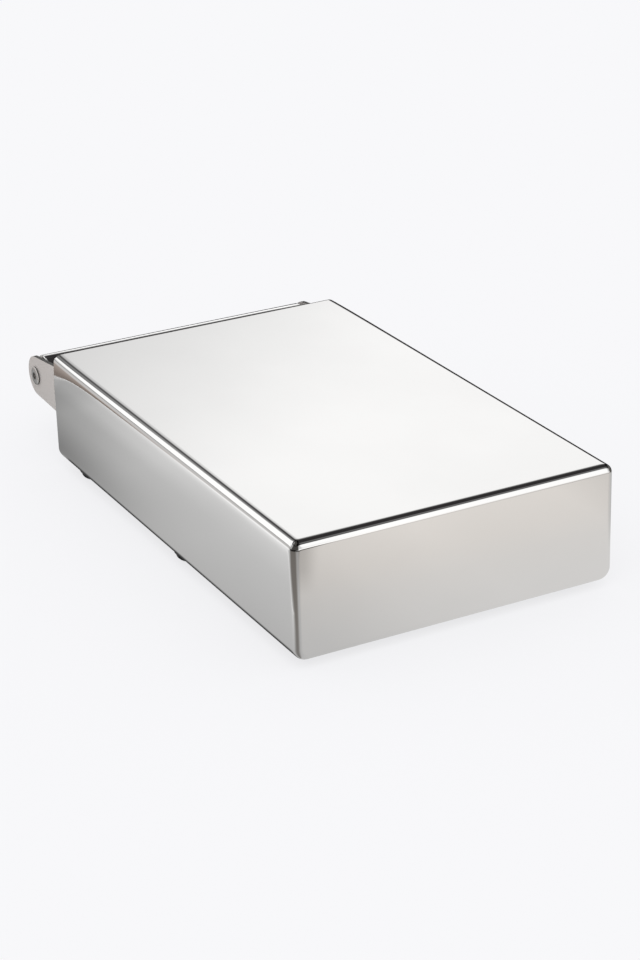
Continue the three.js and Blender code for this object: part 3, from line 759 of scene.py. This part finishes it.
def finish_mesh(piece):
    """Outward faces, smooth over rounds and crisp along edges."""
    work = bmesh.new()
    work.from_mesh(piece.data)
    bmesh.ops.remove_doubles(work, verts=work.verts[:], dist=1e-7)
    bmesh.ops.recalc_face_normals(work, faces=work.faces[:])
    work.to_mesh(piece.data)
    work.free()
    piece.data.shade_smooth()
    piece.data.set_sharp_from_angle(angle=crisp_from)
    return piece


def bevelled(piece, width, segments=2):
    """Breaks the sharp edges of a piece."""
    edge = piece.modifiers.new("broken_edges", "BEVEL")
    edge.width = width
    edge.segments = segments
    edge.limit_method = "ANGLE"
    edge.angle_limit = broken_from
    edge.harden_normals = True
    return piece


def slab(name, loops, low, high, placed, finish):
    """A plate between two heights. The first loop is its outline and the others are holes."""
    flat = [[Vector((x, y, 0)) for x, y in loop] for loop in loops]
    triangles = tessellate_polygon(flat)
    rim = [point for loop in flat for point in loop]
    total = len(rim)
    points = [placed @ Vector((p.x, p.y, height)) for height in (low, high) for p in rim]
    faces = [tuple(triangle) for triangle in triangles]
    faces += [tuple(total + corner for corner in reversed(triangle)) for triangle in triangles]
    start = 0
    for loop in flat:
        size = len(loop)
        for step in range(size):
            here, after = start + step, start + (step + 1) % size
            faces.append((here, after, total + after, total + here))
        start += size
    return finish_mesh(mesh_piece(name, points, faces, finish))


def flat_piece(name, node, corner, finish, holes=()):
    """A plate that fills a node's box, with round corners and holes."""
    low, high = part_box(node)
    outline = rounded_box(low.x, low.y, high.x, high.y, corner)
    return slab(name, [outline, *holes], low.z, high.z, Matrix(), finish)


def welded(name, base, spots_x):
    """Mill steel with the faint blue-brown rings of spot welds along both flanges."""
    made = base.copy()
    made.name = name
    tree = made.node_tree
    place = own_place(tree)
    off_line = calc(tree, "SUBTRACT", calc(tree, "ABSOLUTE", place[0]), spots_x)
    off_row = calc(tree, "SUBTRACT", calc(tree, "FRACT", times(tree, place[1], 1 / weld_pitch)), 0.5)
    away = distance(tree, off_line, times(tree, off_row, weld_pitch))
    stain_and_painted_reflection(made, ramp(tree, away, weld_size * 0.5, weld_size * 1.6, 0.75, 0.0), weld_colour)
    dent = ramp(tree, away, weld_size * 0.6, weld_size * 0.9)
    normal = coat_of(made).inputs["Normal"]
    tree.links.new(bump(tree, dent, weld_depth, normal.links[0].from_socket), normal)
    return made


foot_spots = {}
for row in foot_rows:
    for hand, _ in hands:
        foot_low, foot_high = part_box(f"foot_{hand}_{row}")
        foot_spots[f"{hand}_{row}"] = (foot_low + foot_high) / 2
holes = [arc(spot[:2], foot_hole, 0, 350, 35) for spot in foot_spots.values()]
welded_steel = welded("welded_steel", mill_steel, half_width - flange_width / 2)
base_plate = flat_piece("closing_plate", "base_plate", plate_corner, welded_steel, holes)
dress(bevelled(base_plate, plate_edge), "housing", "base_plate")

# Feet
# Six moulded black rubber feet with a rounded lower edge. Each has a deep bore for its screw, and hides the
# screw's head so that only rubber meets the worktop.
foot_round = 0.0032
foot_taper = 0.0009
foot_bore = 0.0041
foot_shoulder = 0.0019
foot_lip = 0.0004
rubber_colour = (0.018, 0.018, 0.020, 1)
rubber_dust = (0.040, 0.039, 0.039, 1)


def lathe(name, profile, sides, placed, finish):
    """Turns a closed profile of (radius, height) points about Z. Points on the axis become one vertex."""
    points, rings = [], []
    for radius, height in profile:
        if radius < 1e-9:
            rings.append([len(points)] * sides)
            points.append(placed @ Vector((0, 0, height)))
            continue
        rings.append(list(range(len(points), len(points) + sides)))
        for step in range(sides):
            turned = 2 * math.pi * step / sides
            points.append(placed @ Vector((radius * math.cos(turned), radius * math.sin(turned), height)))
    faces = []
    for near, far in zip(rings, rings[1:] + rings[:1]):
        for step in range(sides):
            after = (step + 1) % sides
            corners = list(dict.fromkeys((near[step], near[after], far[after], far[step])))
            if len(corners) > 2:
                faces.append(corners)
    return finish_mesh(mesh_piece(name, points, faces, finish))


def moulded(name, tones, gloss, grain, depth, cloud, cloud_roughness, cloud_edges):
    """A finish that isn't metal: two tones and two roughnesses in clouds, with a fine grain."""
    made, tree = new_finish(name)
    fine = noise(tree, grain, 3.0, 0.6)
    clouds = noise(tree, cloud, 4.0, cloud_roughness)
    tone = layer(tree, ramp(tree, clouds, *cloud_edges), *tones)
    roughness = ramp(tree, clouds, 0.35, 0.7, *gloss)
    coat = {"Base Color": tone, "Roughness": roughness, "Normal": bump(tree, fine, depth)}
    shade(tree, "OutputMaterial", {"Surface": shade(tree, "BsdfPrincipled", coat).outputs[0]})
    return made


def rubber(name, gloss, grain, depth):
    """Black rubber with a moulded grain, a bloom of dust and uneven shine."""
    tones = (rubber_colour, rubber_dust)
    return moulded(name, tones, gloss, grain, depth, (60, 60, 60), 0.55, (0.42, 0.68))


foot_rubber = rubber("foot_rubber", (0.24, 0.42), (2600, 2600, 2600), 0.00002)
foot_low, foot_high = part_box("foot_left_rear")
foot_height = foot_high.z - foot_low.z
foot_radius = (foot_high.x - foot_low.x) / 2
edge_centre = (foot_radius - foot_taper - foot_round, foot_round)
foot_profile = [(foot_bore + foot_lip, 0), *arc(edge_centre, foot_round, -90, 0, 10)]
foot_profile += arc((foot_radius - foot_lip, foot_height - foot_lip), foot_lip, 0, 90, 3)
foot_profile += [(foot_hole, foot_height), (foot_hole, foot_height - foot_shoulder)]
foot_profile += [(foot_bore, foot_height - foot_shoulder), (foot_bore, foot_lip)]
for name, spot in foot_spots.items():
    placed = Matrix.Translation((spot.x, spot.y, 0))
    foot = lathe(f"rubber_foot_{name}", foot_profile, 64, placed, foot_rubber)
    dress(foot, "housing", f"foot_{name}")

# Foot screws
# Stainless pan-head screws with a hexagon socket. Each is put in from below, bears on the shoulder in its
# foot and stands a little through the base plate.
screw_colour = (0.60, 0.59, 0.575, 1)
screw_steel = metal("screw_steel", screw_colour, 0.16, 0.30, (700, 700, 700), (60, 60, 60), 0.000006)
foot_shank = 0.002
foot_head = 0.0036
foot_head_height = 0.0018
foot_socket = (0.0016, 0.001)
plain_shank = 0.0006
thread_pitch = 0.0007
thread_depth = 0.00022
chamfer = 0.0003


def carved(piece, cutter):
    """Cuts a closed shape out of a piece, and removes the shape."""
    cut = piece.modifiers.new("cut", "BOOLEAN")
    cut.operation = "DIFFERENCE"
    cut.solver = "EXACT"
    cut.object = cutter
    bpy.context.view_layer.update()
    mesh = bpy.data.meshes.new_from_object(piece.evaluated_get(bpy.context.evaluated_depsgraph_get()))
    piece.modifiers.clear()
    plain, shape = piece.data, cutter.data
    piece.data = mesh
    bpy.data.objects.remove(cutter)
    for spare in (plain, shape):
        bpy.data.meshes.remove(spare)
    return finish_mesh(piece)


def hex_socket(size, top, placed, finish):
    """The closed shape of a hexagon socket of a radius and depth, with a drilled point at its bottom."""
    radius, depth = size
    profile = [(0, top - depth - radius * 0.35), (radius * 0.86, top - depth), (radius, top - depth)]
    profile += [(radius, top + depth), (0, top + depth)]
    return lathe("socket_shape", profile, 6, placed, finish)


def thread(radius, from_height, to_height):
    """The outline of a screw thread, running up. Each turn is a crest and a root."""
    outline = []
    for turn in range(int((to_height - from_height) / thread_pitch)):
        low = from_height + turn * thread_pitch
        outline += [(radius, low), (radius, low + thread_pitch * 0.25)]
        outline += [(radius - thread_depth, low + thread_pitch * share) for share in (0.55, 0.75)]
    return outline


screw_low, screw_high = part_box("foot_screw_left_rear")
seat = foot_height - foot_shoulder
crown = foot_head_height / 2
foot_screw = [(0, screw_low.z), *arc((foot_head - crown, seat - crown), crown, -90, 0, 8), (foot_head, seat)]
foot_screw += [(foot_shank, seat), *thread(foot_shank, seat + plain_shank, screw_high.z - chamfer)]
foot_screw += [(foot_shank - chamfer, screw_high.z), (0, screw_high.z)]
for name, spot in foot_spots.items():
    placed = Matrix.Translation((spot.x, spot.y, 0))
    screw = lathe(f"foot_fixing_{name}", foot_screw, 40, placed, screw_steel)
    upside_down = placed @ Matrix.Rotation(math.pi, 4, "X")
    screw = carved(screw, hex_socket(foot_socket, -screw_low.z, upside_down, screw_steel))
    dress(screw, "housing", f"foot_screw_{name}")

# Sliding strips
# Strips of natural white plastic. Two are glued to the base plate under the drawer's floor, and two under the
# top above the drawer's sides, where they keep the open drawer from tipping.
strip_edge = 0.00035
strip_play = 0.0003
strip_colour = (0.80, 0.79, 0.755, 1)
strip_worn = (0.70, 0.685, 0.65, 1)


def plastic(name, tones, gloss, grain, depth):
    """Plain plastic with a fine grain and rubbed patches."""
    return moulded(name, tones, gloss, grain, depth, (30, 8, 30), 0.6, (0.45, 0.7))


strip_plastic = plastic("strip_plastic", (strip_colour, strip_worn), (0.34, 0.52), (2200, 90, 2200), 0.00002)
clear = top_bend - sheet + strip_play
along_y = Matrix(((1, 0, 0, 0), (0, 0, 1, 0), (0, 1, 0, 0), (0, 0, 0, 1)))
for hand, side in hands:
    low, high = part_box(f"{hand}_floor_glide")
    strip = flat_piece(f"{hand}_floor_strip", f"{hand}_floor_glide", (high.x - low.x) / 3, strip_plastic)
    dress(bevelled(strip, strip_edge), "housing", f"{hand}_floor_glide")
    low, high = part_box(f"{hand}_top_glide")
    inner_x, outer_x = sorted((abs(low.x), abs(high.x)))
    section = [(inner_x, low.z), (outer_x, low.z), *arc((outer_x - clear, high.z - clear), clear, 0, 90, 8)]
    section = [(side * x, z) for x, z in (*section, (inner_x, high.z))]
    strip = slab(f"{hand}_top_strip", [section], low.y, high.y, along_y, strip_plastic)
    dress(bevelled(strip, strip_edge), "housing", f"{hand}_top_glide")

# Drawer stop
# A low strip of satin stainless steel, welded across the base plate. The lip of the drawer meets it when the
# drawer is fully open.
satin_colour = (0.74, 0.725, 0.71, 1)
stop_corner = 0.002
stop_edge = 0.0003
satin_across = metal("satin_across", satin_colour, 0.24, 0.38, (26, 2600, 900), (7, 9, 9), 0.000006)
stop = bevelled(flat_piece("stop_strip", "drawer_stop", stop_corner, satin_across), stop_edge)
dress(stop, "housing", "drawer_stop")

# Buffers
# Two black rubber buttons with dished faces, stuck on the inside of the closed end. They take the drawer as
# it is pushed home.
button_round = 0.0015
button_dish = 0.0006
for hand, _ in hands:
    low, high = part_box(f"{hand}_buffer")
    reach = high.y - low.y
    radius = (high.x - low.x) / 2
    profile = [(0, 0), (radius, 0)]
    profile += arc((radius - button_round, reach - button_round), button_round, 0, 90, 8)
    profile += [(radius * 0.5, reach), (radius * 0.3, reach - button_dish), (0, reach - button_dish)]
    placed = Matrix.Translation(((low.x + high.x) / 2, low.y, (low.z + high.z) / 2))
    button = lathe(f"{hand}_button", profile, 48, placed @ Matrix.Rotation(-math.pi / 2, 4, "X"), foot_rubber)
    dress(button, "housing", f"{hand}_buffer")

# Drawer pan
# One strip of 1.2 mm satin stainless steel, folded into inner end, floor and front. Both rims are hemmed back
# on the inside, and a small lip is welded under the inner end.
pan_sheet = 0.0012
pan_bend = 0.007
pan_edge = 0.0001
hem_gap = 0.0006
hem_return = 0.008
lip_half = half_width - 0.065
lip_drop = 0.0017
lip_setback = 0.009
pan_colour = (0.70, 0.69, 0.675, 1)
pan_steel = metal("pan_steel", pan_colour, 0.22, 0.36, (24, 2400, 2400), (7, 7, 7), 0.000005, 0.06)
low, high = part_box("drawer_pan")
rim_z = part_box("left_side_plate")[1].z
hem = pan_sheet + hem_gap / 2
inside_bend = pan_bend - pan_sheet
pan_low = low.z + lip_drop
rear_bend = (low.y + pan_bend, pan_low + pan_bend)
front_bend = (high.y - pan_bend, pan_low + pan_bend)
front_hem = (high.y - hem, high.z - hem)
rear_hem = (low.y + hem, rim_z - hem)
section = [*arc(rear_bend, pan_bend, 180, 270, 14), *arc(front_bend, pan_bend, 270, 360, 14)]
section += [*arc(front_hem, hem, 0, 180, 14), (front_hem[0] - hem, front_hem[1] - hem_return)]
section += [(front_hem[0] - hem_gap / 2, front_hem[1] - hem_return), *arc(front_hem, hem_gap / 2, 180, 0, 8)]
section += [*arc(front_bend, inside_bend, 360, 270, 14), *arc(rear_bend, inside_bend, 270, 180, 14)]
section += [*arc(rear_hem, hem_gap / 2, 180, 0, 8), (rear_hem[0] + hem_gap / 2, rear_hem[1] - hem_return)]
section += [(rear_hem[0] + hem, rear_hem[1] - hem_return), *arc(rear_hem, hem, 0, 180, 14)]
along_x = Matrix(((0, 0, 1, 0), (1, 0, 0, 0), (0, 1, 0, 0), (0, 0, 0, 1)))
pan = bevelled(slab("folded_pan", [section], low.x, high.x, along_x, pan_steel), pan_edge, 1)
dress(pan, "drawer", "drawer_pan")
lip_y = low.y + lip_setback
outline = rounded_box(-lip_half, lip_y, lip_half, lip_y + pan_sheet, pan_sheet / 3)
lip = slab("pan_lip", [outline], low.z, pan_low + pan_sheet / 2, Matrix(), pan_steel)
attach(lip, "drawer")

# Side plates
# Two cut plates of 2.5 mm stainless steel, brushed upright. They close the ends of the tray and reach out
# past the housing as round-ended ears that carry the bar. Their cut edges are rough and darker than their
# faces, and painted shade in the edge steel makes them darker still.
ear_hole = 0.0043
knock_hole = 0.0028
knock_seat = (0.005, 0.0028, 0.002)
knock_clear = 0.001
plate_break = 0.0003
ear_round = 0.0121
ear_shift = (0.00039, -0.0003)
ear_low = 0.0285
ear_shoulder = 0.0582
ear_run = 0.016
ear_fillet = 0.003
inner_corner = 0.010
foot_corner = 0.004
ear_colour = (0.86, 0.825, 0.80, 1)
ear_metallic = 0.7
brushed_upright = metal("brushed_upright", ear_colour, 0.42, 0.58, (900, 1500, 22), (8, 8, 8), 0.000007, 0.05)
coat_of(brushed_upright).inputs["Metallic"].default_value = ear_metallic


def axis_of(node):
    """The place (y, z) of a round piece that lies across the box."""
    low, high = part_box(node)
    return (low.y + high.y) / 2, (low.z + high.z) / 2


def outermost(node):
    """How far a piece reaches from the middle of the box."""
    low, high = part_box(node)
    return max(abs(low.x), abs(high.x))


def facing_out(side, distance, axis):
    """The place of a turned piece at a distance from the middle, with its own axis pointing outwards."""
    return Matrix.Translation((side * distance, *axis)) @ Matrix.Rotation(side * math.pi / 2, 4, "Y")


def touch_angle(start, centre, radius, upper):
    """Where a line from a point touches a circle, in degrees."""
    away = (start[0] - centre[0], start[1] - centre[1])
    spread = math.acos(radius / math.hypot(*away))
    return math.degrees(math.atan2(away[1], away[0]) + (-spread if upper else spread))


def cubic(corners, steps):
    """Points on the cubic curve of four corners, without its ends."""
    path = []
    for share in np.linspace(0, 1, steps + 1)[1:-1]:
        rest = 1 - share
        weights = (rest ** 3, 3 * share * rest ** 2, 3 * share ** 2 * rest, share ** 3)
        path.append(tuple(np.dot(weights, corners)))
    return path


def darken_edges_with_shade(piece, facing, axis=(0, 0), clear=0.0):
    """Gives the faces that look along the box, and lie clear of an axis, the dark edge steel with its painted
    shade.
    """
    piece.data.materials.append(shaded_cut_steel)
    for face in piece.data.polygons:
        from_axis = math.dist((face.center.y, face.center.z), axis)
        if abs(face.normal.x) < facing and from_axis > clear:
            face.material_index = 1


bar_axis, rod_axis = axis_of("handle_bar"), axis_of("knock_rod")
low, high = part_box("left_side_plate")
tray_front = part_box("drawer_pan")[1].y
ear_centre = (bar_axis[0] + ear_shift[0], bar_axis[1] + ear_shift[1])
mouth_low = (tray_front + ear_fillet, bottom_z + ear_low)
mouth_high = (mouth_y, bottom_z + ear_shoulder)
low_touch = touch_angle(mouth_low, ear_centre, ear_round, False)
high_touch = touch_angle(mouth_high, ear_centre, ear_round, True)
shoulder = (mouth_y - ear_run, high.z)
ease_y = mouth_y - ear_run / 2
ear_outline = arc((tray_front - foot_corner, low.z + foot_corner), foot_corner, -90, 0, 8)
ear_outline += arc((mouth_low[0], mouth_low[1] - ear_fillet), ear_fillet, 180, 90, 8)
ear_outline += arc(ear_centre, ear_round, low_touch, high_touch, 40)
slope = (mouth_high, (ease_y, mouth_high[1]), (ease_y, high.z), shoulder)
ear_outline += [mouth_high, *cubic(slope, 14), shoulder]
ear_outline += arc((low.y + inner_corner, high.z - inner_corner), inner_corner, 90, 180, 12)
ear_outline += arc((low.y + foot_corner, low.z + foot_corner), foot_corner, 180, 270, 8)
holes = [arc(bar_axis, ear_hole, 0, 354, 59), arc(rod_axis, knock_hole, 0, 352, 44)]
seat_wide, seat_narrow, seat_depth = knock_seat
cone = [(0, -seat_depth), (seat_narrow, -seat_depth), (seat_wide, 0)]
cone += [(seat_wide, knock_clear), (0, knock_clear)]
for hand, side in hands:
    node = f"{hand}_side_plate"
    low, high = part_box(node)
    plate = slab(f"{hand}_ear_plate", [ear_outline, *holes], low.x, high.x, along_x, brushed_upright)
    carved(plate, lathe("seat_shape", cone, 48, facing_out(side, outermost(node), rod_axis), brushed_upright))
    darken_edges_with_shade(plate, 0.3)
    dress(bevelled(plate, plate_break), "drawer", node)

# Bar handle
# A polished stainless tube, 1.5 mm thick, with lightly rounded ends. It is turned and polished to a mirror,
# and screws through the ears hold it by plugs in its ends.
bar_wall = 0.0015
bar_round = 0.0008
bar_colour = (0.93, 0.925, 0.92, 1)
bar_steel = metal("bar_steel", bar_colour, 0.035, 0.075, (30, 1500, 1500), (7, 30, 30), 0.0000006)


def round_tube(name, node, bore, rounding, facets, belts, sides, finish):
    """A tube with rounded ends in the place of a node that lies across the box, in belts along its length."""
    low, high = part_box(node)
    radius, half = (high.z - low.z) / 2, high.x
    profile = [(bore, -half), *arc((radius - rounding, rounding - half), rounding, -90, 0, facets)]
    profile += [(radius, place) for place in np.linspace(-half, half, belts + 1)[1:-1]]
    profile += [*arc((radius - rounding, half - rounding), rounding, 0, 90, facets), (bore, half)]
    return lathe(name, profile, sides, facing_out(1, 0, axis_of(node)), finish)


bar_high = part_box("handle_bar")[1]
bar_half = bar_high.x
bar_bore = bar_high.z - bar_axis[1] - bar_wall
bar = round_tube("mirror_bar", "handle_bar", bar_bore, bar_round, 6, 8, 128, bar_steel)
dress(bar, "drawer", "handle_bar")

# Bar plugs and washers
# A threaded steel plug is pressed into each end of the bar. A matt black plastic washer keeps the bar's
# bright end off the ear.
washer_tones = ((0.022, 0.022, 0.023, 1), (0.032, 0.031, 0.031, 1))
washer_plastic = plastic("washer_plastic", washer_tones, (0.40, 0.55), (900, 900, 900), 0.00003)
edge = 0.0004
bore = ear_hole
for hand, side in hands:
    placed = facing_out(side, bar_half, bar_axis)
    low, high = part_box(f"{hand}_handle_plug")
    length, radius = high.x - low.x, (high.z - low.z) / 2
    profile = [(bore, -length), (radius - edge, -length), (radius, -length + edge), (radius, -edge)]
    profile += [(radius - edge, 0), (bore + edge, 0), (bore, -edge)]
    plug = lathe(f"{hand}_plug", profile, 48, placed, screw_steel)
    dress(plug, "drawer", f"{hand}_handle_plug")
    low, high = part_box(f"{hand}_handle_spacer")
    thick, radius = high.x - low.x, (high.z - low.z) / 2
    profile = [(bore, 0), (radius - edge, 0), (radius, edge), (radius, thick - edge), (radius - edge, thick)]
    washer = lathe(f"{hand}_washer", [*profile, (bore, thick)], 56, placed, washer_plastic)
    dress(washer, "drawer", f"{hand}_handle_spacer")

# Bar screws
# Low domed socket screws of bright stainless steel, turned on an automatic lathe. Each goes through an ear
# and a washer into the bar's plug.
bright_colour = (0.80, 0.79, 0.775, 1)
bright_steel = metal("bright_steel", bright_colour, 0.08, 0.16, (500, 500, 500), (80, 80, 80), 0.000002)
dome_shank = 0.004
dome_thread = 0.005
dome_plain = 0.004
dome_wall = 0.0009
dome_break = 0.00025
dome_flat = 0.0034
dome_socket = (0.0025, 0.0030)
for hand, side in hands:
    low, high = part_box(f"{hand}_handle_screw")
    outer_x = outermost(f"{hand}_side_plate")
    head_height = outermost(f"{hand}_handle_screw") - outer_x
    end = head_height - (high.x - low.x)
    radius = (high.z - low.z) / 2
    profile = [(0, end), (dome_shank - chamfer, end), *thread(dome_shank, end + chamfer, -dome_thread)]
    profile += [(dome_shank, -dome_plain), (dome_shank, 0), (radius - dome_break, 0)]
    profile += [(radius, dome_break), (radius, dome_wall / 2), (radius, dome_wall)]
    for turned in quarter(0, 90, 8)[1:]:
        out, up = (radius - dome_flat) * math.cos(turned), (head_height - dome_wall) * math.sin(turned)
        profile.append((dome_flat + out, dome_wall + up))
    placed = facing_out(side, outer_x, bar_axis)
    screw = lathe(f"{hand}_dome_screw", [*profile, (0, head_height)], 64, placed, bright_steel)
    carved(screw, hex_socket(dome_socket, head_height, placed, bright_steel))
    # The side wall of each head takes the dark edge steel: painted shade, a dark ring round the head.
    darken_edges_with_shade(screw, 0.2, bar_axis, dome_shank)
    dress(screw, "drawer", f"{hand}_handle_screw")

# Knock rod
# A 12 mm stainless rod across the tray. It is drilled and tapped in both ends, and fixed between the side
# plates.
rod_hole = 0.0028
rod_depth = 0.0118
rod_edge = 0.0004
rod_steel = metal("rod_steel", satin_colour, 0.20, 0.30, (24, 1200, 1200), (9, 20, 20), 0.000004)
low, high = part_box("knock_rod")
radius, half = (high.z - low.z) / 2, high.x
right_end = [(radius, half - rod_edge), (radius - rod_edge, half), (rod_hole, half)]
right_end += [(rod_hole, half - rod_depth), (0, half - rod_depth)]
profile = [(out, -along) for out, along in reversed(right_end)] + right_end
rod = lathe("cross_rod", profile, 56, facing_out(1, 0, rod_axis), rod_steel)
dress(rod, "drawer", "knock_rod")

# Knock sleeve
# A thick tube of black rubber on the rod, with rounded ends. Portafilters are knocked on it, so its shine is
# uneven.
sleeve_round = 0.0025
sleeve_bore = 0.0063
sleeve_rubber = rubber("sleeve_rubber", (0.38, 0.58), (525, 1500, 1500), 0.00004)
sleeve = round_tube("knock_tube", "knock_sleeve", sleeve_bore, sleeve_round, 8, 12, 96, sleeve_rubber)
dress(sleeve, "drawer", "knock_sleeve")

# Knock screws
# Countersunk socket screws of stainless steel that hold the rod from both sides. Their heads lie flush with
# the side plates.
flush_shank = 0.0025
flush_head = 0.0047
flush_depth = 0.002
flush_thread = 0.003
flush_edge = 0.0001
flush_socket = (0.00175, 0.0015)
for hand, side in hands:
    node = f"{hand}_knock_screw"
    low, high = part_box(node)
    end = low.x - high.x
    profile = [(0, end), (flush_shank - chamfer, end), *thread(flush_shank, end + chamfer, -flush_thread)]
    profile += [(flush_shank, -flush_depth), (flush_head - flush_edge, -flush_edge)]
    placed = facing_out(side, outermost(node), rod_axis)
    profile += [(flush_head - 2 * flush_edge, 0), (0, 0)]
    screw = lathe(f"{hand}_flush_screw", profile, 48, placed, screw_steel)
    screw = carved(screw, hex_socket(flush_socket, 0, placed, screw_steel))
    dress(screw, "drawer", node)
